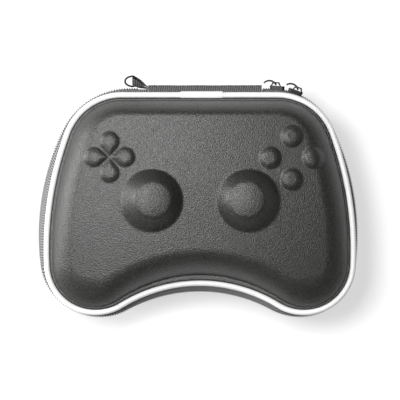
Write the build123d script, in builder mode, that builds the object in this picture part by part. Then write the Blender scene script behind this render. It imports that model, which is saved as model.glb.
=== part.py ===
"""Hard carrying case for a game controller.

Two moulded foam halves in a controller's outline lie one on the other and are joined by a zip.
The lid is crowned and carries the relief of the controller inside it: two thumb-stick domes, a
cross of four petals and four round buttons. The tray below has a flat floor that the case lies on.
Each half ends in a flat flange. Sewn under the flange are the lip of the piping and the hem of
the zip tape, and a binding covers their raw edges inside. The zip runs round the case from one
end of a cloth hinge at the back to the other, with two sliders parked beside the hinge's right
end and a ring on a webbing loop at its left end.

Frame: +Z up, +Y towards the hinge, the origin on the table midway between the thumb-stick domes.
All sizes are in millimetres.
"""

import math
import os
from dataclasses import dataclass

from build123d import *

os.makedirs("parts", exist_ok=True)


@dataclass
class Outline:
    """Right half of a closed outline of tangent arcs, mirrored about the YZ plane."""

    back_y: float  # straight edge at the hinge
    corner_x: float  # centre of the back corner's arc
    corner_radius: float
    side_radius: float  # long arc down the side
    lobe_x: float  # centre of the grip lobe's arc
    lobe_y: float
    lobe_radius: float
    waist_y: float  # nearest point of the hollow between the lobes


# Outlines seen from above: the centre line of the piping, and the zip tape's outer face
rim = Outline(56.5, 42.0, 31.5, 180.0, 56.3, -34.7, 26.4, -45.2)
zip_line = Outline(59.1, 38.4, 37.2, 130.5, 53.9, -32.0, 30.5, -48.8)

# Heights
zip_z = 36.0  # plane on which the two halves meet
half_gap = 6.0  # from that plane to each half's hem
crown_z = 64.5  # highest point of the lid's surface, without its relief

# Seam: the layers sewn together along each half's edge
hem_thickness = 0.7
hem_out = 0.6  # hem's reach outside the piping's centre line
lip_thickness = 0.6
bead_radius = 1.5
sleeve_thickness = 0.5
sleeve_left = -10.4
sleeve_right = 12.2
flange_thickness = 2.0
flange_width = 3.0
binding_thickness = 0.6
binding_width = 5.0

# Moulded halves
wall = 3.0
wall_taper = 8.0  # degrees from the vertical
crown_radius = 400.0
crown_y = 15.0  # the crown is highest towards the hinge
crown_fillet = 6.5
floor_fillet = 9.0

# Relief on the lid
stick_x = 25.1
stick_base_radius = 16.5
stick_cap_radius = 11.0
stick_height = 8.6
stick_cap_rise = 1.2
stick_round = 2.6
buttons_at = (49.3, 22.4)
button_spacing = 11.6  # from the middle of the group to each button
button_radius = 6.2
button_height = 2.6
cross_at = (-48.6, 22.8)
petal_tip = 0.2  # from the middle of the cross to a petal's narrow end
petal_length = 13.6
petal_radius = 5.4
petal_height = 2.6
petal_sink = 0.5  # depth of its narrow end below the surface

# Zip
tape_thickness = 0.7
slit = 0.8  # between the two tapes, where the sliders' posts run
row_height = 2.0
row_skirt = 0.2  # tape left beyond each row before it turns to its hem
tooth_pitch = 1.35
tooth_height = 1.3
tooth_root = 0.64
tooth_bite = 0.4  # how far each row reaches past the plane between them
parted_gap = 0.45  # from that plane to each row, where the sliders part them
nose_clear = 1.0
row_left_end = -34.0
row_right_margin = 0.6  # from the hinge tape to the first tooth

# Cloth hinge
hinge_left = -28.0
hinge_right = 33.4
hinge_bulge = 5.5  # outside the piping's centre line
hinge_flat = 3.3  # half the height of its flat outer face
hinge_lap = 1.6  # sewn flat on the tray's hem
hinge_round = 1.4
hinge_thickness = 1.0
hinge_clearance = 0.2
lining_thickness = 0.8
lining_inset = 1.5  # inside the piping's centre line
lining_margin = 3.0  # how much further the lining reaches than the hinge tape, each end

# Sliders and pulls
slider_angle = 5.0  # first slider's place, in degrees from the back round the corner's centre
slider_spacing = 2.08  # from it to the second slider, along the teeth
slider_length = 8.0
slider_half_width = 3.4
nose_flare = 0.4  # how much wider the slider is at its nose, each side
slider_round = 1.3
running_gap = 0.35
plate_thickness = 0.9
inner_plate_half_width = 2.2
inner_plate_gap = 0.5
post_length = 3.0
post_thickness = 0.5
bridge_length = 5.6
bridge_offset = 0.8  # from the slider's middle towards its tail
bridge_slope = 1.0
bridge_width = 1.8
bridge_thickness = 0.7
bridge_window = 1.4
pull_wire = 0.9
pull_reach = 6.6
pull_width = 5.4
pull_arch = 1.7
pull_rail = 1.3
pull_end = 1.4
pull_round = 1.5
pull_lift = 2.0  # degrees by which a pull stands off the line of the chain

# Ring and its webbing loop
ring_wire = 0.5
ring_length = 8.6
ring_depth = 5.2
ring_corner = 1.0
ring_lean = 38.0  # degrees by which the ring's bar leans outwards from the vertical
ring_bar_at = (-35.4, 64.0)
web_thickness = 0.7
web_width = 6.0
web_clearance = 0.15
web_tuck = 4.0  # how far the loop is sewn in under the hinge tape

# Worked out from the above
zip_plane = Plane.XY.offset(zip_z)
hem_z = zip_z + half_gap
lip_z = hem_z + hem_thickness
flange_z = lip_z + lip_thickness
bead_z = lip_z + bead_radius
wall_start = bead_radius + flange_width
seam_depth = wall_start + wall
row_top = slit / 2 + row_height
tape_turn = row_top + row_skirt
hinge_y = rim.back_y + hinge_bulge
zip_corner = (zip_line.corner_x, zip_line.back_y - zip_line.corner_radius)
teeth_face = zip_line.corner_radius + tooth_height
slider_angles = {
    "a": slider_angle,
    "b": slider_angle + math.degrees((slider_length + slider_spacing) / teeth_face),
}
plate_inside = teeth_face + running_gap
plate_outside = plate_inside + plate_thickness
pin_at = plate_outside + bridge_window / 2


def arc_centres(line):
    """Centres of the corner, side, lobe and waist arcs, and the waist arc's radius."""
    corner = Vector(line.corner_x, line.back_y - line.corner_radius)
    lobe = Vector(line.lobe_x, line.lobe_y)
    to_lobe = lobe - corner
    apart = to_lobe.length
    from_corner = line.side_radius - line.corner_radius
    from_lobe = line.side_radius - line.lobe_radius
    along = (from_corner**2 - from_lobe**2 + apart**2) / (2 * apart)
    across = math.sqrt(from_corner**2 - along**2)
    unit = to_lobe.normalized()
    side = corner + unit * along + Vector(unit.Y, -unit.X) * across
    drop = line.lobe_y - line.waist_y
    waist_radius = (line.lobe_x**2 + drop**2 - line.lobe_radius**2) / (
        2 * (line.lobe_radius - drop)
    )
    waist = Vector(0, line.waist_y - waist_radius)
    return corner, side, lobe, waist, waist_radius


def bearing(start, end):
    """Direction from start to end, in degrees from +X."""
    return math.degrees(math.atan2(end.Y - start.Y, end.X - start.X))


def draw_half(line, grow=0.0):
    """Draws the right half of an outline, grown outwards, into the BuildLine that is open."""
    corner, side, lobe, waist, waist_radius = arc_centres(line)
    corner_end = bearing(side, corner)
    side_end = bearing(side, lobe)
    lobe_end = bearing(lobe, waist)
    waist_end = bearing(waist, lobe)
    back_y = line.back_y + grow
    CenterArc((waist.X, waist.Y), waist_radius - grow, 90, waist_end - 90)
    CenterArc((lobe.X, lobe.Y), line.lobe_radius + grow, lobe_end, side_end - lobe_end)
    CenterArc((side.X, side.Y), line.side_radius + grow, side_end, corner_end - side_end)
    CenterArc((corner.X, corner.Y), line.corner_radius + grow, corner_end, 90 - corner_end)
    Line((line.corner_x, back_y), (0, back_y))


def draw_outline(line, grow=0.0):
    """Draws the closed outline, grown outwards, into the BuildLine that is open."""
    draw_half(line, grow)
    mirror(about=Plane.YZ)


def ring_between(line, outer, inner, bottom, top):
    """Flat ring between two growths of one outline, from one height to another."""
    with BuildPart() as ring:
        with BuildSketch(Plane.XY.offset(bottom)):
            with BuildLine():
                draw_outline(line, outer)
            make_face()
            with BuildLine():
                draw_outline(line, inner)
            make_face(mode=Mode.SUBTRACT)
        extrude(amount=top - bottom)
    return ring.part


def tapered_block(inset, height):
    """Block on the flange's plane whose wall leans in by wall_taper on its way up."""
    with BuildPart() as block:
        with BuildSketch(Plane.XY.offset(flange_z)):
            with BuildLine():
                draw_outline(rim, -(wall_start + inset))
            make_face()
        extrude(amount=height, taper=wall_taper)
    return block.part


def crowned_block(inset):
    """Lid's form without relief, drawn inset from its outer surface."""
    with BuildPart() as form:
        add(tapered_block(inset, crown_z - flange_z))
        with Locations((0, crown_y, crown_z - crown_radius)):
            Sphere(crown_radius - inset, mode=Mode.INTERSECT)
        crown = form.faces().filter_by(GeomType.SPHERE)
        fillet(crown.edges(), crown_fillet - inset)
    return form.part


def tray_block(inset):
    """Tray's form upside down, drawn inset from its outer surface."""
    with BuildPart() as form:
        add(tapered_block(inset, 2 * zip_z - flange_z - inset))
        floor = form.faces().sort_by(Axis.Z)[-1]
        fillet(floor.edges(), floor_fillet - inset)
    return form.part


def crown_height(x, y):
    """Height of the lid's crowned surface above the table."""
    off_axis = math.hypot(x, y - crown_y)
    return crown_z - crown_radius + math.sqrt(crown_radius**2 - off_axis**2)


def stick_dome(inset):
    """Thumb-stick dome: a cone with a rounded shoulder under a slightly domed cap."""
    base = crown_height(stick_x, 0) - inset
    top = base + stick_height
    foot_radius = stick_base_radius - inset
    shoulder = stick_cap_radius - inset / 2
    cap_radius = (shoulder**2 + stick_cap_rise**2) / (2 * stick_cap_rise)
    with BuildPart() as dome:
        with BuildSketch(Plane.XZ) as profile:
            with BuildLine():
                foot = Line((0, base - crown_fillet), (foot_radius, base - crown_fillet))
                side = Line(foot @ 1, (foot_radius, base))
                flank = Line(side @ 1, (shoulder, top - stick_cap_rise))
                cap = RadiusArc(flank @ 1, (0, top), -cap_radius)
                Line(cap @ 1, foot @ 0)
            make_face()
            edge = profile.vertices().sort_by_distance(flank @ 1)[0]
            fillet(edge, stick_round - inset / 2)
        revolve(axis=Axis.Z)
    return dome.part


def petal():
    """Pear-shaped raised pad lying along +X on the plane z = 0, its narrow end at the origin."""
    ball_x = petal_length - petal_radius
    touch = math.acos(petal_radius / ball_x)
    touch_point = (
        ball_x - petal_radius * math.cos(touch),
        petal_radius * math.sin(touch),
    )
    lean = math.degrees(math.atan2(petal_height - petal_radius + petal_sink, ball_x))
    with BuildPart() as pear:
        with BuildSketch(Plane.XY):
            with BuildLine():
                flank = Line((0, 0), touch_point)
                end = ThreePointArc(
                    flank @ 1, (ball_x, petal_radius), (petal_length, 0)
                )
                Line(end @ 1, flank @ 0)
            make_face()
        revolve(axis=Axis.X)
    with BuildPart() as pad:
        with Locations(Location((0, 0, -petal_sink), (0, -lean, 0))):
            add(pear.part)
    return pad.part


def flange_ring():
    """Edge of a moulded half, from the piping's bead to the inside of the wall."""
    return ring_between(
        rim, -bead_radius, -seam_depth, flange_z, flange_z + flange_thickness
    )


# Lid: crowned shell with the controller's relief, hollow under the stick domes
with BuildPart() as upper_shell:
    add(crowned_block(0))
    add(flange_ring())
    with Locations((-stick_x, 0), (stick_x, 0)):
        add(stick_dome(0))
    button_ball = (button_radius**2 + button_height**2) / (2 * button_height)
    for turn in range(4):
        angle = math.radians(90 * turn)
        x = buttons_at[0] + button_spacing * math.cos(angle)
        y = buttons_at[1] + button_spacing * math.sin(angle)
        top = crown_height(x, y) + button_height
        with Locations((x, y, top - button_ball)):
            Sphere(button_ball)
    petal_z = crown_height(*cross_at)
    for turn in range(4):
        with Locations(Location((*cross_at, petal_z), (0, 0, 90 * turn))):
            with Locations((petal_tip, 0)):
                add(petal())
    add(crowned_block(wall), mode=Mode.SUBTRACT)
    with Locations((-stick_x, 0), (stick_x, 0)):
        add(stick_dome(wall), mode=Mode.SUBTRACT)
upper_shell.part.label = "upper_shell"
export_step(upper_shell.part, "parts/upper_shell.step")

# Tray: the same seam, with a flat floor
with BuildPart() as lower_shell:
    add(tray_block(0))
    add(flange_ring())
    add(tray_block(wall), mode=Mode.SUBTRACT)
    mirror(about=zip_plane, mode=Mode.REPLACE)
lower_shell.part.label = "lower_shell"
export_step(lower_shell.part, "parts/lower_shell.step")

# Piping: a round bead on a flat lip
with BuildLine(Plane.XY.offset(bead_z)) as bead_line:
    draw_half(rim)

with BuildPart() as bead:
    with BuildSketch(Plane(origin=(0, rim.waist_y, bead_z), z_dir=(1, 0, 0))):
        Circle(bead_radius)
    sweep(path=bead_line.wires()[0])
    mirror(about=Plane.YZ)

with BuildPart() as piping:
    add(ring_between(rim, 0, -seam_depth, lip_z, flange_z))
    add(bead.part)

with BuildPart() as upper_piping:
    add(piping.part)
upper_piping.part.label = "upper_piping"
export_step(upper_piping.part, "parts/upper_piping.step")

with BuildPart() as lower_piping:
    add(piping.part)
    mirror(about=zip_plane, mode=Mode.REPLACE)
lower_piping.part.label = "lower_piping"
export_step(lower_piping.part, "parts/lower_piping.step")

# Sleeve over the joint of the lid's piping, open underneath where the lip and flange are
with BuildPart() as piping_sleeve:
    with BuildSketch(Plane(origin=(sleeve_left, rim.back_y, bead_z), z_dir=(1, 0, 0))):
        Circle(bead_radius + sleeve_thickness)
        Circle(bead_radius, mode=Mode.SUBTRACT)
    extrude(amount=sleeve_right - sleeve_left)
    split(bisect_by=Plane.XY.offset(flange_z), keep=Keep.TOP)
    with BuildSketch(Plane.XY.offset(flange_z)):
        with Locations((0, rim.back_y - 2 * bead_radius)):
            Rectangle(4 * sleeve_right, 4 * bead_radius)
    extrude(amount=flange_thickness, mode=Mode.SUBTRACT)
piping_sleeve.part.label = "piping_sleeve"
export_step(piping_sleeve.part, "parts/piping_sleeve.step")

# Zip tape: a flat hem, a skirt that slants out to the chain, and a strip behind the teeth
with BuildPart() as skirt:
    for skirt_inset, mode in ((0, Mode.ADD), (tape_thickness, Mode.SUBTRACT)):
        with BuildSketch(zip_plane.offset(tape_turn)):
            with BuildLine():
                draw_outline(zip_line, -skirt_inset)
            make_face()
        with BuildSketch(Plane.XY.offset(lip_z)):
            with BuildLine():
                draw_outline(rim, hem_out - skirt_inset)
            make_face()
        loft(ruled=True, mode=mode)

with BuildPart() as tape:
    add(ring_between(rim, hem_out, -seam_depth, hem_z, lip_z))
    add(skirt.part)
    add(ring_between(zip_line, 0, -tape_thickness, zip_z + slit / 2, zip_z + tape_turn))
    with BuildSketch(zip_plane):
        with Locations(((hinge_left + hinge_right) / 2, rim.back_y - hinge_lap)):
            Rectangle(
                hinge_right - hinge_left + 2 * hinge_clearance,
                2 * hinge_bulge,
                align=(Align.CENTER, Align.MIN),
            )
    extrude(amount=half_gap, mode=Mode.SUBTRACT)

with BuildPart() as upper_zip_tape:
    add(tape.part)
upper_zip_tape.part.label = "upper_zip_tape"
export_step(upper_zip_tape.part, "parts/upper_zip_tape.step")

with BuildPart() as lower_zip_tape:
    add(tape.part)
    mirror(about=zip_plane, mode=Mode.REPLACE)
lower_zip_tape.part.label = "lower_zip_tape"
export_step(lower_zip_tape.part, "parts/lower_zip_tape.step")

# Teeth: wedges on the tape's outer face. The rows are half a pitch out of step, so each tooth
# reaches between two of the other row, apart from the stretch that the sliders hold parted.
with BuildLine() as chain_line:
    draw_outline(zip_line)
chain = chain_line.wires()[0]
tooth_count = round(chain.length / tooth_pitch)
parted_from, parted_to = (
    slider_angles["a"] - math.degrees((slider_length / 2 - nose_clear) / teeth_face),
    slider_angles["b"] + math.degrees((slider_length / 2 - nose_clear) / teeth_face),
)


def tooth_places(shift):
    """Places of one row's teeth: first those in mesh, then those the sliders hold parted."""
    meshed, parted = [], []
    for index in range(tooth_count):
        along = (index + shift) / tooth_count
        point = chain @ along
        heading = chain % along
        facing = math.degrees(math.atan2(heading.Y, heading.X)) - 90
        at_back = point.Y > zip_corner[1]
        if at_back and row_left_end < point.X < hinge_right + row_right_margin:
            continue
        from_back = math.degrees(math.atan2(point.X - zip_corner[0], point.Y - zip_corner[1]))
        place = Location((point.X, point.Y, 0), (0, 0, facing))
        if at_back and parted_from < from_back < parted_to:
            parted.append(place)
        else:
            meshed.append(place)
    return meshed, parted


def tooth_row(shift):
    """Row of teeth above the plane on which the two halves meet."""
    meshed, parted = tooth_places(shift)
    with BuildPart() as row:
        for places, start in ((meshed, -tooth_bite), (parted, parted_gap)):
            with BuildSketch(zip_plane.offset(start)):
                with Locations(*places):
                    Polygon(
                        (0, -tooth_root / 2),
                        (tooth_height, 0),
                        (0, tooth_root / 2),
                        align=None,
                    )
            extrude(amount=row_top - start)
    return row.part


with BuildPart() as upper_zip_teeth:
    add(tooth_row(0))
upper_zip_teeth.part.label = "upper_zip_teeth"
export_step(upper_zip_teeth.part, "parts/upper_zip_teeth.step")

with BuildPart() as lower_zip_teeth:
    add(tooth_row(0.5))
    mirror(about=zip_plane, mode=Mode.REPLACE)
lower_zip_teeth.part.label = "lower_zip_teeth"
export_step(lower_zip_teeth.part, "parts/lower_zip_teeth.step")

# Binding: folded round the raw edges of the hem and the lip
with BuildPart() as binding:
    folded = -seam_depth - binding_thickness
    add(ring_between(rim, -seam_depth, folded, hem_z - binding_thickness, flange_z))
    add(
        ring_between(
            rim, binding_width - seam_depth, folded, hem_z - binding_thickness, hem_z
        )
    )

with BuildPart() as upper_inner_binding:
    add(binding.part)
upper_inner_binding.part.label = "upper_inner_binding"
export_step(upper_inner_binding.part, "parts/upper_inner_binding.step")

with BuildPart() as lower_inner_binding:
    add(binding.part)
    mirror(about=zip_plane, mode=Mode.REPLACE)
lower_inner_binding.part.label = "lower_inner_binding"
export_step(lower_inner_binding.part, "parts/lower_inner_binding.step")

# Cloth hinge: from the tray's hem it bulges out and back to just under the lid's hem
hem_edge = rim.back_y + hem_out
with BuildPart() as hinge_tape:
    with BuildSketch(Plane(origin=(hinge_left, 0, zip_z), x_dir=(0, 1, 0), z_dir=(1, 0, 0))):
        with BuildLine():
            FilletPolyline(
                (hem_edge - hinge_lap, half_gap - hinge_clearance),
                (hem_edge + hinge_lap / 2, half_gap - hinge_clearance),
                (hinge_y, hinge_flat + hinge_round / 2),
                (hinge_y, -hinge_flat - hinge_round / 2),
                (hem_edge + hinge_lap / 2, -half_gap),
                (hem_edge - hinge_lap, -half_gap),
                radius=hinge_round,
            )
            offset(amount=hinge_thickness, side=Side.RIGHT)
        make_face()
    extrude(amount=hinge_right - hinge_left)
hinge_tape.part.label = "hinge_tape"
export_step(hinge_tape.part, "parts/hinge_tape.step")

# Strip of lining behind it, standing on the tray's hem
with BuildPart() as hinge_lining:
    with BuildSketch(Plane.XY.offset(zip_z - half_gap)):
        with Locations((hinge_left - lining_margin, rim.back_y - lining_inset)):
            Rectangle(
                hinge_right - hinge_left + 2 * lining_margin,
                lining_thickness,
                align=(Align.MIN, Align.MAX),
            )
    extrude(amount=2 * half_gap - hinge_clearance)
hinge_lining.part.label = "hinge_lining"
export_step(hinge_lining.part, "parts/hinge_lining.step")

# Slider, drawn about the corner arc's centre at the back, with its nose towards +X. The outer
# plate's flanges hug both rows of teeth, and a post at the nose joins it to the inner plate.
slider_front = Plane(origin=(0, 0, 0), x_dir=(-1, 0, 0), z_dir=(0, 1, 0))
tape_inside = zip_line.corner_radius - tape_thickness - inner_plate_gap
nose_x = slider_length / 2
with BuildPart() as slider:
    with BuildSketch(slider_front):
        corner_x = nose_x - slider_round
        nose_side = slider_half_width + nose_flare - slider_round
        tail_side = slider_half_width - slider_round
        with Locations((-corner_x, nose_side), (-corner_x, -nose_side)):
            Circle(slider_round)
        with Locations((corner_x, tail_side), (corner_x, -tail_side)):
            Circle(slider_round)
        make_hull()
    extrude(amount=plate_outside)
    Cylinder(zip_line.corner_radius + running_gap, 4 * slider_half_width, mode=Mode.SUBTRACT)
    Cylinder(plate_inside, 2 * (row_top + running_gap), mode=Mode.SUBTRACT)
    with BuildSketch(Plane.XY.offset(-inner_plate_half_width)):
        Circle(tape_inside)
        Circle(tape_inside - plate_thickness, mode=Mode.SUBTRACT)
        with Locations((0, tape_inside)):
            Rectangle(slider_length, tape_inside, mode=Mode.INTERSECT)
    extrude(amount=2 * inner_plate_half_width)
    with BuildSketch(Plane.XY.offset(-post_thickness / 2)):
        with Locations((nose_x - slider_round, tape_inside - plate_thickness / 2)):
            Rectangle(
                post_length,
                plate_inside - tape_inside + plate_thickness,
                align=(Align.MAX, Align.MIN),
            )
    extrude(amount=post_thickness)
    with BuildSketch(Plane.XY.offset(-bridge_width / 2)):
        with BuildLine():
            half = bridge_length / 2
            rise = bridge_window + bridge_thickness
            Polyline(
                (-bridge_offset - half, plate_outside),
                (-bridge_offset - half + bridge_slope, plate_outside + rise),
                (-bridge_offset + half - bridge_slope, plate_outside + rise),
                (-bridge_offset + half, plate_outside),
                close=True,
            )
        make_face()
        with BuildLine():
            inner_half = half - bridge_thickness
            Polyline(
                (-bridge_offset - inner_half, plate_outside),
                (-bridge_offset - inner_half + bridge_slope, plate_outside + bridge_window),
                (-bridge_offset + inner_half - bridge_slope, plate_outside + bridge_window),
                (-bridge_offset + inner_half, plate_outside),
                close=True,
            )
        make_face(mode=Mode.SUBTRACT)
    extrude(amount=bridge_width)

# Pull: an arched stamped tab with a window, hinged on a pin through the slider's bridge.
# It is drawn with its pin on the Z axis and its end towards -X.
with BuildPart() as pull:
    with BuildSketch(Plane.XY.offset(-pull_width / 2)):
        with BuildLine():
            arch = SagittaArc((0, 0), (-pull_reach, 0), -pull_arch)
        trace(lines=arch, line_width=pull_wire)
        Circle(pull_wire / 2)
    extrude(amount=pull_width)
    with BuildSketch(Plane.XZ):
        with Locations(((pull_wire / 2 - pull_reach) / 2, 0)):
            RectangleRounded(pull_reach + 3 * pull_wire / 2, pull_width, pull_round)
    extrude(amount=4 * pull_arch, both=True, mode=Mode.INTERSECT)
    with BuildSketch(Plane.XZ):
        with Locations((pull_wire, 0)):
            Rectangle(
                pull_reach - pull_end + pull_wire,
                pull_width - 2 * pull_rail,
                align=(Align.MAX, Align.CENTER),
            )
    extrude(amount=4 * pull_arch, both=True, mode=Mode.SUBTRACT)
    Cylinder(pull_wire / 2, pull_width - pull_rail)

for name, nose in (("a", 1), ("b", -1)):
    angle = slider_angles[name]
    corner = Location((*zip_corner, zip_z), (0, 0, -angle))
    with BuildPart() as placed_slider:
        with Locations(corner):
            add(slider.part if nose > 0 else slider.part.mirror(Plane.YZ))
    placed_slider.part.label = f"slider_{name}"
    export_step(placed_slider.part, f"parts/slider_{name}.step")
    pin = corner * Location((-nose * bridge_offset, pin_at, 0), (0, 0, -pull_lift))
    with BuildPart() as placed_pull:
        with Locations(pin):
            add(pull.part)
    placed_pull.part.label = f"pull_{name}"
    export_step(placed_pull.part, f"parts/pull_{name}.step")

# Ring: a D of wire, its straight bar held in the loop, drawn in the plane of the ring
lean = math.radians(ring_lean)
bar = Plane(
    origin=(*ring_bar_at, zip_z), x_dir=(-1, 0, 0), z_dir=(0, math.cos(lean), -math.sin(lean))
)
with BuildPart() as d_ring:
    with BuildLine(bar) as ring_line:
        half = ring_length / 2
        down = Line((0, 0), (0, -half))
        bow = ThreePointArc(down @ 1, (ring_depth, 0), (0, half))
        Line(bow @ 1, (0, 0))
        fillet(ring_line.vertices().sort_by_distance(bar.origin)[-2:], ring_corner)
    with BuildSketch(Plane(origin=bar.origin, z_dir=bar.y_dir)):
        Circle(ring_wire)
    sweep(path=ring_line.wires()[0])
d_ring.part.label = "d_ring"
export_step(d_ring.part, "parts/d_ring.step")

# Loop: webbing folded round the bar, its two layers sewn in under the hinge tape's left end
fold_inside = ring_wire + web_clearance
fold_middle = fold_inside + web_thickness / 2
root_y = hinge_y - hinge_thickness
with BuildPart() as ring_loop:
    with BuildSketch(Plane(bar.origin - bar.y_dir * web_width / 2, bar.x_dir, bar.y_dir)):
        Circle(fold_inside + web_thickness)
        Circle(fold_inside, mode=Mode.SUBTRACT)
        Rectangle(
            2 * fold_inside + web_thickness,
            4 * fold_inside,
            align=(Align.MIN, Align.CENTER),
            mode=Mode.INTERSECT,
        )
    extrude(amount=web_width)
    for side in (1, -1):
        fold_y = ring_bar_at[1] + side * fold_middle * math.cos(lean)
        fold_z = -side * fold_middle * math.sin(lean)
        layer_y = root_y - (1 - side / 2) * web_thickness
        with BuildSketch(Plane((ring_bar_at[0], 0, zip_z), (0, 1, 0), (1, 0, 0))):
            with Locations((fold_y, fold_z)):
                Rectangle(web_thickness, web_width, rotation=-ring_lean)
        with BuildSketch(Plane((hinge_left, 0, zip_z), (0, 1, 0), (1, 0, 0))):
            with Locations((layer_y, 0)):
                Rectangle(web_thickness, web_width)
        loft(ruled=True)
    with BuildSketch(Plane((hinge_left, 0, zip_z), (0, 1, 0), (1, 0, 0))):
        with Locations((root_y, 0)):
            Rectangle(2 * web_thickness, web_width, align=(Align.MAX, Align.CENTER))
    extrude(amount=web_tuck)
ring_loop.part.label = "ring_loop"
export_step(ring_loop.part, "parts/ring_loop.step")
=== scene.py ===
"""Dresses the controller carrying case: fine shapes, materials, floor, light and camera.

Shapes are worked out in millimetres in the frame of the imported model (+Z up, +Y towards the
hinge) and become metres where their meshes are made.
"""

import math

import bmesh
import bpy
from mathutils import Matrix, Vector
from mathutils.geometry import delaunay_2d_cdt


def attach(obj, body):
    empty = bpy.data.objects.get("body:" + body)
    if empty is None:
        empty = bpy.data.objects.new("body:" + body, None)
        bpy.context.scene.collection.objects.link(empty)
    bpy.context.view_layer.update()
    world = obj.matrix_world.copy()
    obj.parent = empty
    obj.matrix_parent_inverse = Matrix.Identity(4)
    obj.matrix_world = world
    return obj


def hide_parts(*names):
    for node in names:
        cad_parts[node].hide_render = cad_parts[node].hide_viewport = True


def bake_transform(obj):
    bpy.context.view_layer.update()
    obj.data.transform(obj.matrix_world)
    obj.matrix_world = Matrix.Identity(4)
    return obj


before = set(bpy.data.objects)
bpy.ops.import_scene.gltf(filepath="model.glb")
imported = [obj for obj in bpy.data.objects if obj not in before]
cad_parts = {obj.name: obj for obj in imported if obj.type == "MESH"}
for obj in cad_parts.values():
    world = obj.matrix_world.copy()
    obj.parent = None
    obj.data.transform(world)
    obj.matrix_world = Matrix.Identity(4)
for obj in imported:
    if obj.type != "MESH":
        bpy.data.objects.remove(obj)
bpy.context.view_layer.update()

MM = 0.001

# View: straight from above, with this many metres for each of the photograph's pixels
PIXELS = 400
METRES_PER_PIXEL = 0.54 * MM
VIEW_CENTRE = (0.0, -0.27 * MM)
CAMERA_HEIGHT = 3.0
VIEW_PLANE_HEIGHT = 45 * MM
SENSOR = 36.0

# Sizes of the model, in millimetres
ZIP_Z = 36.0
HALF_GAP = 6.0
HEM_THICKNESS = 0.7
LIP_THICKNESS = 0.6
FLANGE_Z = ZIP_Z + HALF_GAP + HEM_THICKNESS + LIP_THICKNESS
FLANGE_THICKNESS = 2.0
BEAD_RADIUS = 1.5
FLANGE_WIDTH = 3.0
WALL_START = BEAD_RADIUS + FLANGE_WIDTH
WALL = 3.0
CROWN_Z = 64.5
CROWN_RADIUS = 400.0
CROWN_Y = 15.0
STICK_X = 25.1
STICK_HEIGHT = 8.6
STICK_CAP_RISE = 1.2
BUTTONS_AT = (49.3, 22.4)
BUTTON_SPACING = 11.6
CROSS_AT = (-48.6, 22.8)
PETAL_TIP = 0.2
PETAL_LENGTH = 13.6
PETAL_RADIUS = 5.4
ROW_LEFT_END = -34.0
ROW_RIGHT_MARGIN = 0.6
TOOTH_PITCH = 1.35
TOOTH_BITE = 0.4
PARTED_GAP = 0.45
HINGE_LEFT = -28.0
HINGE_RIGHT = 33.4
HINGE_Y = 62.0
HINGE_THICKNESS = 1.0
HINGE_LAP = 1.6
HEM_EDGE_Y = 57.1
LINING_MARGIN = 3
RING_BAR = Vector((-35.4, 64.0, 36.0))
RING_LEAN = math.radians(38.0)
RING_WIRE = 0.5
WEB_THICKNESS = 0.7
WEB_WIDTH = 6.0
WEB_CLEARANCE = 0.15

# Sizes of the scene's own finer shapes, in millimetres; some are a little off the model's
STICK_BASE_RADIUS = 16.3
STICK_CAP_RADIUS = 10.1
STICK_CAP_BLEND = 1.3
STICK_FOOT_BLEND = 0.9
STICK_MARGIN = 3
BUTTON_RADIUS = 6.0
BUTTONS_REACH = 22
CROSS_REACH = 18
PAD_HEIGHT = 1.6
PAD_EDGE = 4.2
PAD_POWER = 2.2
CREASE = 0.8
WALL_FOOT = 1.5
WAIST_FLANGE = 1.7
BACK_SHOULDER = 8.8
SIDE_SHOULDER = 12.6
FRONT_SHOULDER = 16.6
WAIST_NARROWING = 2.0
SHOULDER_POWER = 0.6
BINDING_DEPTH = 8.1
ROW_TOP = 2.4
PARTED_DEGREES = (0.5, 24.5)
SIDE_SHIFT = 1.1
HINGE_ROUND = 1.9
TACK_PITCH = 1.35
TACK_HALF_WIDTH = 0.3
LINING_Y = 54.6
LOOP_ROOT_X = -24.5

# Section of the ring's webbing: (across as a share of half its width, out in millimetres)
LOOP_SECTION = (
    (-1.0, 0.0),
    (-0.97, -0.25),
    (-0.85, -0.35),
    (0.85, -0.35),
    (0.97, -0.25),
    (1.0, 0.0),
    (0.97, 0.25),
    (0.85, 0.35),
    (-0.85, 0.35),
    (-0.97, 0.25),
)


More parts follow.
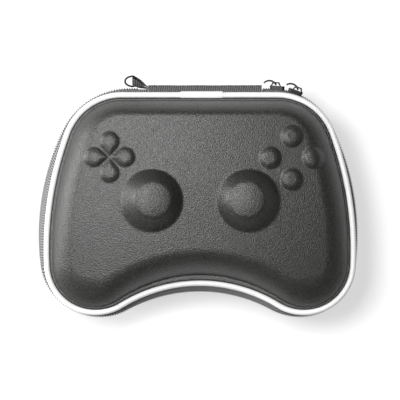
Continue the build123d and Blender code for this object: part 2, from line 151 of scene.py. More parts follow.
class Outline:
    """Closed outline of tangent arcs, mirrored about x = 0, that can be grown outwards.

    From the front: the waist's hollow arc, a lobe round each grip, a long side, a corner and
    the straight back.
    """

    def __init__(self, back_y, corner_x, corner_r, side_r, lobe_x, lobe_y, lobe_r, waist_y):
        corner = Vector((corner_x, back_y - corner_r))
        lobe = Vector((lobe_x, lobe_y))
        apart = (lobe - corner).length
        from_corner = side_r - corner_r
        from_lobe = side_r - lobe_r
        along = (from_corner**2 - from_lobe**2 + apart**2) / (2 * apart)
        across = math.sqrt(from_corner**2 - along**2)
        unit = (lobe - corner).normalized()
        side = corner + unit * along + Vector((unit.y, -unit.x)) * across
        drop = lobe_y - waist_y
        waist_r = (lobe_x**2 + drop**2 - lobe_r**2) / (2 * (lobe_r - drop))
        waist = Vector((0, waist_y - waist_r))
        self.back_y = back_y
        self.corner_x = corner_x
        corner_end = self.bearing(side, corner)
        side_end = self.bearing(side, lobe)
        self.arcs = (
            (waist, waist_r, -1, math.pi / 2, self.bearing(waist, lobe)),
            (lobe, lobe_r, 1, self.bearing(lobe, waist), side_end),
            (side, side_r, 1, side_end, corner_end),
            (corner, corner_r, 1, corner_end, math.pi / 2),
        )

    @staticmethod
    def bearing(start, end):
        """Direction from one point to another, in radians."""
        return math.atan2(end.y - start.y, end.x - start.x)

    def half(self, grow, counts):
        """Points of the right half and their outward normals, from the waist to the back."""
        points = []
        for (centre, radius, sense, start, end), count in zip(self.arcs, counts):
            reach = radius + sense * grow
            for i in range(count):
                angle = start + (end - start) * i / count
                ray = Vector((math.cos(angle), math.sin(angle)))
                points.append((centre + ray * reach, ray * sense))
        up = Vector((0, 1))
        count = counts[-1]
        for i in range(count):
            x = self.corner_x * (1 - i / count)
            points.append((Vector((x, self.back_y + grow)), up))
        return points

    def ring(self, grow, counts):
        """Points and normals all the way round, from the waist by the right to the waist."""
        right = self.half(grow, counts)
        middle = (Vector((0, self.back_y + grow)), Vector((0, 1)))
        left = [
            (Vector((-p.x, p.y)), Vector((-n.x, n.y)))
            for p, n in reversed(right[1:])
        ]
        return right + [middle] + left


RIM = Outline(
    back_y=56.5,
    corner_x=42.0,
    corner_r=31.5,
    side_r=180.0,
    lobe_x=56.3,
    lobe_y=-34.7,
    lobe_r=26.4,
    waist_y=-45.2,
)
ZIP_LINE = Outline(
    back_y=59.1,
    corner_x=38.4,
    corner_r=37.2,
    side_r=130.5,
    lobe_x=53.9,
    lobe_y=-32.0,
    lobe_r=30.5,
    waist_y=-48.8,
)

# Rough lengths of the right half's arcs and straight back, in millimetres
ARC_LENGTHS = (46, 56, 74, 40, 42)


def counts_for(spacing):
    """How many points each stretch of the outline's right half gets."""
    return [max(2, round(length / spacing)) for length in ARC_LENGTHS]


def make_object(name, vertices, faces, uvs=None, smooth=True):
    """Mesh object from millimetre vertices, with UVs in millimetres if they are given."""
    mesh = bpy.data.meshes.new(name)
    mesh.from_pydata([tuple(c * MM for c in v) for v in vertices], [], faces)
    if uvs:
        layer = mesh.uv_layers.new(name="along")
        for loop in mesh.loops:
            layer.data[loop.index].uv = uvs[loop.vertex_index]
    if smooth:
        mesh.shade_smooth()
    mesh.validate()
    obj = bpy.data.objects.new(name, mesh)
    bpy.context.scene.collection.objects.link(obj)
    return obj


def dress(obj, material, body=None):
    """Gives a piece its material, and its body where it is a new one."""
    obj.data.materials.clear()
    obj.data.materials.append(material)
    if body:
        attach(obj, body)


# Materials

NOISE_ROUGHNESS = 0.6
WEAVE_DEPTH = 0.2
WEFT_RATE = 9.0


def new_material(name, colour, roughness, **sockets):
    """Principled material; the other values are set on the shader's own sockets."""
    material = bpy.data.materials.new(name)
    material.use_nodes = True
    shader = material.node_tree.nodes["Principled BSDF"]
    shader.inputs["Base Color"].default_value = (*colour, 1)
    shader.inputs["Roughness"].default_value = roughness
    for socket, value in sockets.items():
        shader.inputs[socket.replace("_", " ")].default_value = value
    return material, material.node_tree, shader


def add_node(tree, kind, **values):
    """Node of one kind, with sockets set by name and other settings as attributes."""
    node = tree.nodes.new(kind)
    for key, value in values.items():
        if key in node.inputs:
            node.inputs[key].default_value = value
        else:
            setattr(node, key, value)
    return node


def math_node(tree, operation, first, second=None, third=None):
    """Output of a maths node whose inputs are numbers or other nodes' outputs."""
    node = add_node(tree, "ShaderNodeMath", operation=operation)
    for socket, value in zip(node.inputs, (first, second, third)):
        if isinstance(value, (int, float)):
            socket.default_value = value
        elif value is not None:
            tree.links.new(value, socket)
    return node.outputs[0]


def noise(tree, scale, detail):
    """Noise in object space; scale is in features for each metre."""
    coords = add_node(tree, "ShaderNodeTexCoord")
    node = add_node(
        tree, "ShaderNodeTexNoise", Scale=scale, Detail=detail, Roughness=NOISE_ROUGHNESS
    )
    tree.links.new(coords.outputs["Object"], node.inputs["Vector"])
    return node.outputs["Fac"]


def vary_colour(tree, shader, factor, dark, light):
    """Mixes two colours by a factor into the base colour."""
    ramp = add_node(tree, "ShaderNodeValToRGB")
    ramp.color_ramp.elements[0].position = 0.3
    ramp.color_ramp.elements[0].color = (*dark, 1)
    ramp.color_ramp.elements[1].position = 0.7
    ramp.color_ramp.elements[1].color = (*light, 1)
    tree.links.new(factor, ramp.inputs["Fac"])
    tree.links.new(ramp.outputs["Color"], shader.inputs["Base Color"])


def add_bump(tree, shader, height, depth, strength):
    """Bump on the shader's normal; its depth is in millimetres."""
    bump = add_node(tree, "ShaderNodeBump", Strength=strength, Distance=depth * MM)
    tree.links.new(height, bump.inputs["Height"])
    tree.links.new(bump.outputs["Normal"], shader.inputs["Normal"])


def skin_material():
    """Black cloth pressed on foam: a fine irregular grain with a satin sheen."""
    material, tree, shader = new_material(
        "case_skin", (0.03, 0.03, 0.03), 0.45, Specular_IOR_Level=0.7
    )
    fine = noise(tree, scale=1600, detail=1.0)
    vary_colour(tree, shader, fine, dark=(0.004, 0.004, 0.0046), light=(0.043, 0.0435, 0.039))
    add_bump(tree, shader, fine, depth=0.3, strength=0.85)
    return material


def plastic_material(name, colour, roughness):
    """Extruded or moulded plastic with a faint unevenness."""
    material, tree, shader = new_material(name, colour, roughness)
    uneven = noise(tree, scale=300, detail=2.0)
    lighter = tuple(c * 1.06 + 0.002 for c in colour)
    vary_colour(tree, shader, uneven, colour, lighter)
    add_bump(tree, shader, uneven, depth=0.04, strength=0.4)
    return material


def metal_material():
    """Black enamel on cast metal, worn thin in places."""
    material, tree, shader = new_material(
        "black_metal", (0.01, 0.01, 0.01), 0.45, Specular_IOR_Level=0.2
    )
    worn = noise(tree, scale=500, detail=4.0)
    vary_colour(tree, shader, worn, dark=(0.008, 0.008, 0.008), light=(0.03, 0.03, 0.03))
    add_bump(tree, shader, worn, depth=0.03, strength=0.3)
    return material


def weave_material(name, dark, light, rib, slant, fold):
    """Woven tape with UVs in millimetres.

    Its ribs are this far apart and slant one way and then the other, back and forth every fold.
    Finer threads cross them, and a fuzz of fibres lies over both.
    """
    material, tree, shader = new_material(name, dark, 0.7, Specular_IOR_Level=0.4)
    coords = add_node(tree, "ShaderNodeUVMap", uv_map="along")
    split = add_node(tree, "ShaderNodeSeparateXYZ")
    tree.links.new(coords.outputs["UV"], split.inputs["Vector"])
    zigzag = math_node(tree, "PINGPONG", split.outputs["Y"], fold)
    along = math_node(tree, "MULTIPLY_ADD", zigzag, slant, split.outputs["X"])
    wave = math_node(tree, "SINE", math_node(tree, "MULTIPLY", along, 2 * math.pi / rib))
    cross = math_node(tree, "SINE", math_node(tree, "MULTIPLY", split.outputs["Y"], WEFT_RATE))
    both = math_node(tree, "MULTIPLY_ADD", cross, 0.25, wave)
    level = math_node(tree, "MULTIPLY_ADD", both, 0.4, 0.5)
    fuzz = noise(tree, scale=1800, detail=2.0)
    mixed = math_node(tree, "MULTIPLY_ADD", fuzz, 0.35, level)
    eased = math_node(tree, "SUBTRACT", mixed, 0.17)
    vary_colour(tree, shader, eased, dark, light)
    add_bump(tree, shader, eased, depth=WEAVE_DEPTH, strength=0.8)
    return material


# Lid


def crown_height(x, y, inset):
    """Height of the lid's crown without relief."""
    off_axis = x * x + (y - CROWN_Y) ** 2
    radius = CROWN_RADIUS - inset
    return CROWN_Z - CROWN_RADIUS + math.sqrt(radius * radius - off_axis)


def smooth_max(a, b, blend):
    """The higher of two heights, with a round hollow of about this width where they cross."""
    share = min(1.0, max(0.0, 0.5 + 0.5 * (b - a) / blend))
    return a + (b - a) * share + blend * share * (1 - share)


def stick_height(x, y, inset):
    """Height of the nearer stick dome's surface, far below the crown outside it."""
    r = math.hypot(abs(x) - STICK_X, y)
    base = crown_height(STICK_X, 0, inset)
    foot = STICK_BASE_RADIUS - inset
    shoulder = STICK_CAP_RADIUS - inset / 2
    top = base + STICK_HEIGHT
    cap = top - STICK_CAP_RISE * (r / shoulder) ** 2
    flank = base + (STICK_HEIGHT - STICK_CAP_RISE) * (foot - r) / (foot - shoulder)
    return -smooth_max(-cap, -flank, STICK_CAP_BLEND)


def pad_rise(inside):
    """Rise of a soft pad at a place this far inside its edge: crisp there, flat further in."""
    t = min(1.0, inside / PAD_EDGE)
    return PAD_HEIGHT * (1 - (1 - t) ** PAD_POWER)


def button_rise(x, y):
    """How far the round buttons stand up at one place."""
    best = 0.0
    for dx, dy in ((1, 0), (0, 1), (-1, 0), (0, -1)):
        off_x = x - BUTTONS_AT[0] - dx * BUTTON_SPACING
        off_y = y - BUTTONS_AT[1] - dy * BUTTON_SPACING
        inside = BUTTON_RADIUS - math.hypot(off_x, off_y)
        if inside > 0:
            best = max(best, pad_rise(inside))
    return best


def petal_rise(x, y):
    """How far the cross stands up: four pear-shaped pads with their narrow ends inwards."""
    ball = PETAL_LENGTH - PETAL_RADIUS
    sine = PETAL_RADIUS / ball
    cosine = math.sqrt(1 - sine * sine)
    best = 0.0
    for ux, uy in ((1, 0), (0, 1), (-1, 0), (0, -1)):
        along = (x - CROSS_AT[0]) * ux + (y - CROSS_AT[1]) * uy - PETAL_TIP
        across = abs(-(x - CROSS_AT[0]) * uy + (y - CROSS_AT[1]) * ux)
        if along * cosine + across * sine < ball * cosine:
            inside = along * sine - across * cosine
        else:
            inside = PETAL_RADIUS - math.hypot(along - ball, across)
        if inside > 0:
            best = max(best, pad_rise(inside))
    return best


def lid_height(x, y, inset):
    """Height of the lid's outer surface, or of its inner one for a positive inset."""
    z = crown_height(x, y, inset)
    if math.hypot(abs(x) - STICK_X, y) < STICK_BASE_RADIUS + STICK_MARGIN:
        z = smooth_max(z, stick_height(x, y, inset), STICK_FOOT_BLEND)
    if inset == 0:
        if math.hypot(x - BUTTONS_AT[0], y - BUTTONS_AT[1]) < BUTTONS_REACH:
            z += button_rise(x, y)
        if math.hypot(x - CROSS_AT[0], y - CROSS_AT[1]) < CROSS_REACH:
            z += petal_rise(x, y)
    return z


def wall_form(point, normal):
    """Depth at which the wall starts and its width in plan with its shoulder, at one place.

    The flange is wider at the waist, and the shoulder is broader at the grips than at the back.
    """
    back = max(0.0, normal.y) ** 2
    side = normal.x**2
    front = max(0.0, -normal.y) ** 2
    waist = 1 - min(1.0, abs(point.x) / RIM.arcs[1][0].x) ** 2
    start = WALL_FOOT + WAIST_FLANGE * waist * front
    width = BACK_SHOULDER * back + SIDE_SHOULDER * side
    width += (FRONT_SHOULDER - WAIST_NARROWING * waist) * front
    return start, width


def wall_share(depth, start, width):
    """How far up the wall is, from 0 at its foot to 1 at its shoulder's inner edge."""
    t = min(1.0, max(0.0, (depth - start) / width))
    return (1 - (1 - t) ** 2) ** SHOULDER_POWER


def lid_rings(inset, depths, counts):
    """Rings of the lid's wall as lists of (x, y, z), from the piping's bead inwards."""
    rings = []
    foot_z = FLANGE_Z + FLANGE_THICKNESS - inset
    for depth in depths:
        ring = []
        for point, normal in RIM.ring(-(BEAD_RADIUS + depth), counts):
            full = lid_height(point.x, point.y, inset)
            share = wall_share(depth - inset, *wall_form(point, normal))
            z = max(FLANGE_Z, foot_z + (full - foot_z) * share)
            if inset == 0 and depth < CREASE:
                z -= CREASE * (1 - depth / CREASE) ** 2
            ring.append((point.x, point.y, z))
        rings.append(ring)
    return rings


def stitch_rings(rings, faces, start, flip=False):
    """Quads between rings of equal length whose vertices begin at start."""
    count = len(rings[0])
    for row in range(len(rings) - 1):
        for i in range(count):
            a = start + row * count + i
            b = start + row * count + (i + 1) % count
            quad = (a, b, b + count, a + count)
            faces.append(quad[::-1] if flip else quad)


def fill_inside(boundary, inset, spacing, circles):
    """Points and triangles inside a closed ring, finer in circles of (x, y, radius, step).

    The points lie in even rows, and in rings in the circles.
    """
    xs = [p[0] for p in boundary]
    ys = [p[1] for p in boundary]
    points = [Vector((p[0], p[1])) for p in boundary]
    edges = [(i, (i + 1) % len(boundary)) for i in range(len(boundary))]
    for cx, cy, radius, step in circles:
        points.append(Vector((cx, cy)))
        for ring in range(1, int(radius / step) + 1):
            r = ring * step
            around = max(8, int(2 * math.pi * r / (1.4 * step)))
            for i in range(around):
                angle = 2 * math.pi * (i + 0.5 * (ring % 2)) / around
                points.append(Vector((cx + r * math.cos(angle), cy + r * math.sin(angle))))
    step_y = spacing * math.sqrt(3) / 2
    row = 0
    y = min(ys) + spacing / 2
    while y < max(ys):
        x = min(xs) + (spacing / 2 if row % 2 else 0)
        while x < max(xs):
            if all(math.hypot(x - cx, y - cy) > r + spacing / 2 for cx, cy, r, _ in circles):
                points.append(Vector((x, y)))
            x += spacing
        y += step_y
        row += 1
    result = delaunay_2d_cdt(points, edges, [], 1, 1e-4)
    vertices = [(v.x, v.y, lid_height(v.x, v.y, inset)) for v in result[0]]
    return vertices, [tuple(f) for f in result[2]]


def make_lid(material):
    """The lid's moulded shell: outer skin, inner skin and the edge that joins them.

    The rings are close together near the flange and further apart on the wall.
    """
    counts = counts_for(0.65)
    outer_depths = [0.3 * i for i in range(20)] + [6.0 + 0.55 * i for i in range(25)]
    seam = WALL_START + WALL - BEAD_RADIUS
    inner_depths = [seam + 0.8 * i for i in range(9)] + [seam + 7.2 + 1.6 * i for i in range(5)]
    under = [(p.x, p.y, FLANGE_Z) for p, _ in RIM.ring(-BEAD_RADIUS, counts)]
    inner_edge = [(p.x, p.y, FLANGE_Z) for p, _ in RIM.ring(-BEAD_RADIUS - seam, counts)]
    rings = [inner_edge, under] + lid_rings(0, outer_depths, counts)
    vertices = [v for ring in rings for v in ring]
    faces = []
    stitch_rings(rings, faces, 0)
    sticks = [(side * STICK_X, 0, STICK_BASE_RADIUS + 2, 0.5) for side in (-1, 1)]
    top = fill_inside(rings[-1], 0, spacing=0.7, circles=sticks)
    add_filling(vertices, faces, top, flip=False)
    start = len(vertices)
    inner = [inner_edge] + lid_rings(WALL, inner_depths, counts)
    vertices += [v for ring in inner for v in ring]
    stitch_rings(inner, faces, start, flip=True)
    pockets = [(side * STICK_X, 0, STICK_BASE_RADIUS - WALL + 2, 1.0) for side in (-1, 1)]
    ceiling = fill_inside(inner[-1], WALL, spacing=2.5, circles=pockets)
    add_filling(vertices, faces, ceiling, flip=True)
    obj = make_object("lid_shell", vertices, faces)
    join_by_distance(obj, 0.02 * MM)
    dress(obj, material, "lid")
    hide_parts("upper_shell")


def add_filling(vertices, faces, filled, flip):
    """Adds a filled inside; its boundary points are merged with the ring's later."""
    points, triangles = filled
    start = len(vertices)
    vertices += points
    for triangle in triangles:
        face = tuple(start + i for i in triangle)
        faces.append(face[::-1] if flip else face)


def join_by_distance(obj, distance):
    """Merges vertices that lie on each other."""
    work = bmesh.new()
    work.from_mesh(obj.data)
    bmesh.ops.remove_doubles(work, verts=work.verts, dist=distance)
    work.to_mesh(obj.data)
    work.free()


# Strips that follow the outline


def seam_path(outline, grow, counts, left_end, right_end):
    """Points and normals from left_end at the back, round by the waist, to right_end."""
    steps = 14
    back_y = outline.back_y + grow
    up = Vector((0, 1))

    def straight(start, end):
        return [
            (Vector((start + (end - start) * i / steps, back_y)), up)
            for i in range(steps + 1)
        ]

    arcs = outline.half(grow, counts)[: -counts[-1]]
    left = [
        (Vector((-p.x, p.y)), Vector((-n.x, n.y))) for p, n in reversed(arcs[1:])
    ]
    return (
        straight(left_end, -outline.corner_x)
        + left
        + arcs
        + straight(outline.corner_x, right_end)
    )


def mirror_z(z, side):
    """Height above the zip's plane on the lid's side (1) or below it on the tray's (-1)."""
    return ZIP_Z + side * (z - ZIP_Z)


def ease_out(point, normal, share):
    """Moves a point of the zip to the left, where it bulges more than on the right."""
    return Vector((point.x - SIDE_SHIFT * share * normal.x**2, point.y))


def sweep_section(name, stations, caps=True):
    """Closed tube through stations, each a ring of points; UVs run along and round it."""
    around = len(stations[0])
    vertices = []
    uvs = []
    faces = []
    travelled = 0.0
    for row, station in enumerate(stations):
        if row:
            travelled += math.dist(station[0], stations[row - 1][0])
        across = 0.0
        for i in range(around + 1):
            vertices.append(station[i % around])
            uvs.append((travelled, across))
            across += math.dist(station[i % around], station[(i + 1) % around])
    width = around + 1
    for row in range(len(stations) - 1):
        for i in range(around):
            a = row * width + i
            faces.append((a, a + 1, a + width + 1, a + width))
    if caps:
        last = (len(stations) - 1) * width
        faces.append(tuple(reversed(range(around))))
        faces.append(tuple(last + i for i in range(around)))
    obj = make_object(name, vertices, faces, uvs)
    join_by_distance(obj, 0.001 * MM)
    return obj


def make_binding(name, side, body, node, material):
    """Tape folded round the raw edges inside a half, with its two soft edges.

    Its section is given as how far the rim is grown and the height on the lid's side.
    """
    hem = ZIP_Z + HALF_GAP
    inner = -BINDING_DEPTH
    section = [
        (-2.5, hem),
        (-2.4, hem - 0.3),
        (-2.7, hem - 0.55),
        (-5.0, hem - 0.62),
        (inner + 0.5, hem - 0.6),
        (inner + 0.1, hem - 0.35),
        (inner, hem + 0.1),
        (inner, FLANGE_Z - 0.1),
        (inner + 0.3, FLANGE_Z),
        (inner + 0.6, FLANGE_Z - 0.1),
        (inner + 0.6, hem),
    ]
    rails = []
    for grow, z in section:
        ring = RIM.ring(grow, counts_for(1.0))
        rails.append([(p.x, p.y, mirror_z(z, side)) for p, _ in ring + ring[:1]])
    if side < 0:
        rails.reverse()
    obj = sweep_section(name, list(zip(*rails)), caps=False)
    dress(obj, material, body)
    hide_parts(node)


def make_lining(material):
    """Strip of cloth that stands on the tray's hem behind the hinge, waved a little."""
    low = ZIP_Z - HALF_GAP
    high = ZIP_Z + HALF_GAP - 0.2
    left = HINGE_LEFT - LINING_MARGIN
    right = HINGE_RIGHT + LINING_MARGIN
    stations = []
    for i in range(91):
        x = left + (right - left) * i / 90
        front = []
        back = []
        for j in range(13):
            t = j / 12
            wave = 0.12 * math.sin(0.4 * x + 1.5 * t) * math.sin(math.pi * t)
            thick = 0.4 - 0.2 * (abs(2 * t - 1) ** 8)
            front.append((x, LINING_Y + wave + thick, low + (high - low) * t))
            back.append((x, LINING_Y + wave - thick, low + (high - low) * t))
        stations.append(front + back[::-1])
    obj = sweep_section("hinge_lining_cloth", stations)
    dress(obj, material, "base")
    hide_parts("hinge_lining")


def make_zip_tape(name, side, body, node, material):
    """Woven tape from the hem under the flange out to the teeth, which its bulge overhangs.

    Its section is given as the outline it follows, how far that is grown, the height on the
    lid's side, and its share of the zip's shift to the left.
    """
    hem = ZIP_Z + HALF_GAP
    section = [
        (RIM, -6.0, hem, 0.0),
        (RIM, 0.2, hem, 0.0),
        (RIM, 0.5, hem - 0.5, 0.1),
        (ZIP_LINE, -0.3, ZIP_Z + 3.6, 0.9),
        (ZIP_LINE, 0.0, ZIP_Z + ROW_TOP + 0.15, 1.0),
        (ZIP_LINE, -0.7, ZIP_Z + 0.4, 1.0),
        (ZIP_LINE, 0.0, ZIP_Z + 0.4, 1.0),
        (ZIP_LINE, 0.05, ZIP_Z + ROW_TOP + 0.1, 1.0),
        (ZIP_LINE, 0.3, ZIP_Z + ROW_TOP + 0.15, 1.0),
        (ZIP_LINE, 0.5, ZIP_Z + ROW_TOP + 0.5, 1.0),
        (ZIP_LINE, 0.4, ZIP_Z + ROW_TOP + 0.95, 1.0),
        (ZIP_LINE, 0.15, ZIP_Z + 4.3, 0.8),
        (RIM, 1.15, hem + 0.1, 0.2),
        (RIM, 0.9, hem + 0.6, 0.0),
        (RIM, 0.6, hem + HEM_THICKNESS, 0.0),
        (RIM, -6.0, hem + HEM_THICKNESS, 0.0),
    ]
    counts = counts_for(0.9)
    rails = []
    for outline, grow, z, share in section:
        path = seam_path(outline, grow, counts, HINGE_LEFT - 0.2, HINGE_RIGHT + 0.2)
        rails.append([(*ease_out(p, n, share), mirror_z(z, side)) for p, n in path])
    if side > 0:
        rails.reverse()
    obj = sweep_section(name, list(zip(*rails)))
    dress(obj, material, body)
    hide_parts(node)


def zip_places(shift):
    """Places along the zip, one for each tooth, as (point, normal, parted)."""
    counts = counts_for(0.25)
    path = seam_path(ZIP_LINE, 0, counts, ROW_LEFT_END, HINGE_RIGHT + ROW_RIGHT_MARGIN)
    travelled = 0.0
    wanted = shift * TOOTH_PITCH
    centre = ZIP_LINE.arcs[3][0]
    places = []
    for (a, na), (b, nb) in zip(path, path[1:]):
        length = (b - a).length
        while length and wanted <= travelled + length:
            t = (wanted - travelled) / length
            point = a.lerp(b, t)
            normal = na.lerp(nb, t).normalized()
            angle = math.degrees(math.atan2(point.x - centre.x, point.y - centre.y))
            parted = point.x > 0 and PARTED_DEGREES[0] < angle < PARTED_DEGREES[1]
            places.append((ease_out(point, normal, 1), normal, parted))
            wanted += TOOTH_PITCH
        travelled += length
    return places


def make_teeth(name, side, shift, reach, body, node, material):
    """Row of moulded teeth: rounded wedges that bite between those of the other row.

    A tooth's plan is given as how far out and how far along the zip each corner lies; reach
    stretches it outwards, and shift is a share of the pitch.
    """
    plan = [(0.0, -0.4), (0.8, -0.36), (1.12, -0.22), (1.25, 0.0)]
    plan += [(1.12, 0.22), (0.8, 0.36), (0.0, 0.4)]
    vertices = []
    faces = []
    for point, normal, parted in zip_places(shift):
        along = Vector((-normal.y, normal.x))
        low = PARTED_GAP if parted else -TOOTH_BITE
        levels = ((low, 0.82), (low + 0.3, 1.0), (ROW_TOP - 0.3, 1.0), (ROW_TOP, 0.82))
        start = len(vertices)
        for z, size in levels:
            for out, off in plan:
                p = point + normal * out * reach * size + along * off * size
                vertices.append((p.x, p.y, mirror_z(ZIP_Z + z, side)))
        around = len(plan)
        quads = []
        for row in range(len(levels) - 1):
            for i in range(around):
                a = start + row * around + i
                b = start + row * around + (i + 1) % around
                quads.append((a, b, b + around, a + around))
        quads.append(tuple(start + i for i in reversed(range(around))))
        top = start + (len(levels) - 1) * around
        quads.append(tuple(top + i for i in range(around)))
        faces += [q[::-1] for q in quads] if side < 0 else quads
    obj = make_object(name, vertices, faces, smooth=False)
    dress(obj, material, body)
    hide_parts(node)


# Cloth hinge and the ring's loop


def round_corner(before, corner, after, radius, steps=5):
    """Points of an arc that rounds a corner of a flat path."""
    u = (before - corner).normalized()
    v = (after - corner).normalized()
    half = u.angle(v) / 2
    reach = radius / math.tan(half)
    centre = corner + (u + v).normalized() * radius / math.sin(half)
    first = corner + u * reach - centre
    last = corner + v * reach - centre
    turn = first.angle_signed(last)
    points = []
    for i in range(steps + 1):
        angle = -turn * i / steps
        c = math.cos(angle)
        s = math.sin(angle)
        points.append(centre + Vector((first.x * c - first.y * s, first.x * s + first.y * c)))
    return points


def hinge_profile():
    """Hinge's outer face in (y, z) from the tray's hem out and back to the lid's, and normals."""
    corners = [
        Vector((HEM_EDGE_Y - HINGE_LAP, -HALF_GAP)),
        Vector((HEM_EDGE_Y + 1.2, -HALF_GAP)),
        Vector((HINGE_Y, -4.2)),
        Vector((HINGE_Y, 4.2)),
        Vector((HEM_EDGE_Y + 1.2, 5.8)),
        Vector((HEM_EDGE_Y - HINGE_LAP, 5.8)),
    ]
    points = [corners[0]]
    for a, b, c in zip(corners, corners[1:], corners[2:]):
        points += round_corner(a, b, c, HINGE_ROUND)
    points.append(corners[-1])
    fine = []
    for a, b in zip(points, points[1:]):
        steps = max(1, round((b - a).length / 0.45))
        fine += [a.lerp(b, i / steps) for i in range(steps)]
    fine.append(points[-1])
    normals = []
    for i in range(len(fine)):
        ahead = fine[min(i + 1, len(fine) - 1)] - fine[max(i - 1, 0)]
        normals.append(Vector((ahead.y, -ahead.x)).normalized())
    return fine, normals


def make_hinge(material):
    """Ribbed cloth over the back seam, with raised tacks near its ends.

    Its middle is drawn in a little and waves faintly, and its two hems lie flat.
    """
    profile, normals = hinge_profile()
    steps = 220
    tacks = [HINGE_LEFT + 0.6 + TACK_PITCH * i for i in range(3)]
    tacks += [HINGE_RIGHT - 0.6 - TACK_PITCH * i for i in range(9)]
    stations = []
    for i in range(steps + 1):
        x = HINGE_LEFT + (HINGE_RIGHT - HINGE_LEFT) * i / steps
        tack = sum(math.exp(-(((x - t) / TACK_HALF_WIDTH) ** 2)) for t in tacks)
        ring = []
        for j, (q, n) in enumerate(zip(profile, normals)):
            share = j / (len(profile) - 1)
            middle = math.sin(math.pi * share) ** 2
            wave = 0.05 * math.sin(x * 0.35 + 3 * share) + 0.03 * math.sin(x * 1.7 + 9 * share)
            out = -0.2 * middle + wave * middle + 0.22 * tack * middle
            p = q + n * out
            ring.append((x, p.x, ZIP_Z + p.y))
        for q, n in reversed(list(zip(profile, normals))):
            p = q - n * (HINGE_THICKNESS - 0.15)
            ring.append((x, p.x, ZIP_Z + p.y))
        stations.append(ring)
    obj = sweep_section("hinge_cloth", stations)
    dress(obj, material)
    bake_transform(obj)
    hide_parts("hinge_tape")


def make_loop(material):
    """Webbing folded round the ring's bar; its ends twist upright and go in under the hinge.

    Its outer layer bows out further than its inner one.
    """
    fold = RING_WIRE + WEB_CLEARANCE + WEB_THICKNESS / 2
    root_y = HINGE_Y - HINGE_THICKNESS - WEB_THICKNESS
    steps = 26
    stations = []

    def station(centre, lean, normal):
        wide = Vector((0, math.sin(lean), math.cos(lean)))
        ring = []
        for across, out in LOOP_SECTION:
            ring.append(tuple(centre + wide * across * WEB_WIDTH / 2 + normal * out))
        stations.append(ring)

    for side in (1, -1):
        layer = []
        for i in range(steps + 1):
            t = i / steps
            x = LOOP_ROOT_X + (RING_BAR.x - LOOP_ROOT_X) * t
            u = min(1.0, max(0.0, (HINGE_LEFT - x) / (HINGE_LEFT - RING_BAR.x)))
            lean = RING_LEAN * u * u * (3 - 2 * u)
            normal = Vector((0, math.cos(lean), -math.sin(lean)))
            bow = (0.55 if side > 0 else 0.1) * math.sin(math.pi * u)
            off = WEB_THICKNESS / 2 * (1 - u) + fold * u + bow
            y = root_y + (RING_BAR.y - root_y) * u
            centre = Vector((x, y, ZIP_Z)) + normal * side * off
            layer.append((centre, lean, normal * side))
        if side > 0:
            for item in layer:
                station(*item)
            for i in range(1, 12):
                angle = math.pi * i / 12
                base = Vector((0, math.cos(RING_LEAN), -math.sin(RING_LEAN)))
                normal = base * math.cos(angle) + Vector((-1, 0, 0)) * math.sin(angle)
                station(RING_BAR + normal * fold, RING_LEAN, normal)
        else:
            for item in reversed(layer):
                station(*item)
    obj = sweep_section("loop_webbing", stations)
    dress(obj, material, "base")
    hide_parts("ring_loop")


# Floor, light and camera


def make_floor():
    """Pale floor: plain white to the camera and in reflections, with the case's soft shadow.

    The glow is added for those rays alone, so that the floor lights the case only as pale grey.
    """
    size = 4000.0
    corners = [(-size, -size, 0), (size, -size, 0), (size, size, 0), (-size, size, 0)]
    floor = make_object("floor", corners, [(0, 1, 2, 3)], smooth=False)
    material, tree, shader = new_material("floor", (0.4, 0.4, 0.4), 0.9)
    shader.inputs["Specular IOR Level"].default_value = 0.0
    output = tree.nodes["Material Output"]
    glow = add_node(tree, "ShaderNodeEmission", Strength=0.66)
    path = add_node(tree, "ShaderNodeLightPath")
    mirrored = math_node(
        tree, "MAXIMUM", path.outputs["Is Glossy Ray"], path.outputs["Is Transmission Ray"]
    )
    seen = math_node(tree, "MAXIMUM", path.outputs["Is Camera Ray"], mirrored)
    both = add_node(tree, "ShaderNodeAddShader")
    pick = add_node(tree, "ShaderNodeMixShader")
    tree.links.new(shader.outputs[0], both.inputs[0])
    tree.links.new(glow.outputs[0], both.inputs[1])
    tree.links.new(seen, pick.inputs[0])
    tree.links.new(shader.outputs[0], pick.inputs[1])
    tree.links.new(both.outputs[0], pick.inputs[2])
    tree.links.new(pick.outputs[0], output.inputs["Surface"])
    floor.data.materials.append(material)


def add_area_light(name, place, size, watts):
    """Square soft light aimed at the case."""
    data = bpy.data.lights.new(name, "AREA")
    data.size = size
    data.energy = watts
    light = bpy.data.objects.new(name, data)
    bpy.context.scene.collection.objects.link(light)
    light.location = place
    aim = Vector((0, 0, 0.04)) - light.location
    light.rotation_euler = aim.to_track_quat("-Z", "Y").to_euler()


def set_up_light():
    """A soft light above and a little to the left, a low one at the left, and a dim room."""
    add_area_light("key", (-0.38, 0.2, 1.5), size=0.45, watts=25)
    add_area_light("left", (-1.5, 0.25, 0.4), size=0.5, watts=24)
    world = bpy.data.worlds.new("world")
    world.use_nodes = True
    world.node_tree.nodes["Background"].inputs["Color"].default_value = (1, 1, 1, 1)
    world.node_tree.nodes["Background"].inputs["Strength"].default_value = 0.02
    bpy.context.scene.world = world
    bpy.context.scene.view_settings.view_transform = "Standard"


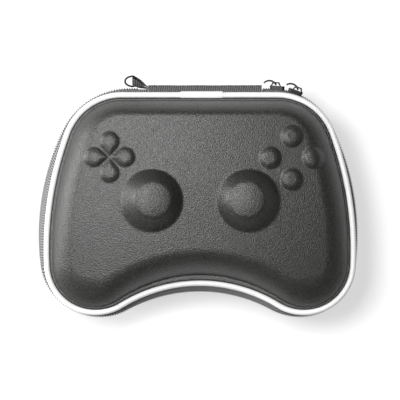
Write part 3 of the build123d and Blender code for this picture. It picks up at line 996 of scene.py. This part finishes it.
def set_up_camera():
    """Long lens straight above the case, with +Y at the top of the picture."""
    data = bpy.data.cameras.new("camera")
    camera = bpy.data.objects.new("camera", data)
    bpy.context.scene.collection.objects.link(camera)
    camera.location = (*VIEW_CENTRE, CAMERA_HEIGHT)
    data.sensor_width = SENSOR
    data.sensor_fit = "HORIZONTAL"
    away = CAMERA_HEIGHT - VIEW_PLANE_HEIGHT
    data.lens = SENSOR * away / (PIXELS * METRES_PER_PIXEL)
    data.clip_end = 20.0
    bpy.context.scene.camera = camera


set_up_camera()
set_up_light()
make_floor()

skin = skin_material()
white = plastic_material("white_piping", (0.86, 0.86, 0.86), 0.45)
black = plastic_material("black_piping", (0.03, 0.03, 0.032), 0.4)
nylon = plastic_material("zip_teeth", (0.02, 0.02, 0.022), 0.35)
metal = metal_material()
tape_cloth = weave_material(
    "zip_tape", (0.02, 0.02, 0.021), (0.36, 0.36, 0.36), rib=1.35, slant=0.35, fold=1.6
)
hinge_cloth = weave_material(
    "hinge_cloth", (0.03, 0.03, 0.032), (0.16, 0.16, 0.165), rib=1.0, slant=0.15, fold=3.0
)
webbing = weave_material(
    "webbing", (0.015, 0.015, 0.017), (0.13, 0.13, 0.135), rib=1.2, slant=0.5, fold=1.0
)
lining = weave_material(
    "lining", (0.015, 0.015, 0.016), (0.06, 0.06, 0.063), rib=0.9, slant=0.3, fold=1.5
)

make_lid(skin)
make_zip_tape("zip_tape_lid", 1, "lid", "upper_zip_tape", tape_cloth)
make_zip_tape("zip_tape_tray", -1, "base", "lower_zip_tape", tape_cloth)
make_teeth("zip_teeth_lid", 1, 0.0, 1.08, "lid", "upper_zip_teeth", nylon)
make_teeth("zip_teeth_tray", -1, 0.5, 0.68, "base", "lower_zip_teeth", nylon)
make_hinge(hinge_cloth)
make_loop(webbing)
make_binding("binding_lid", 1, "lid", "upper_inner_binding", lining)
make_binding("binding_tray", -1, "base", "lower_inner_binding", lining)
make_lining(lining)
looks = {
    "lower_shell": skin,
    "upper_piping": white,
    "piping_sleeve": white,
    "lower_piping": black,
    "d_ring": metal,
    "slider_a": metal,
    "slider_b": metal,
    "pull_a": metal,
    "pull_b": metal,
}
for node, material in looks.items():
    dress(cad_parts[node], material)

bpy.context.view_layer.update()
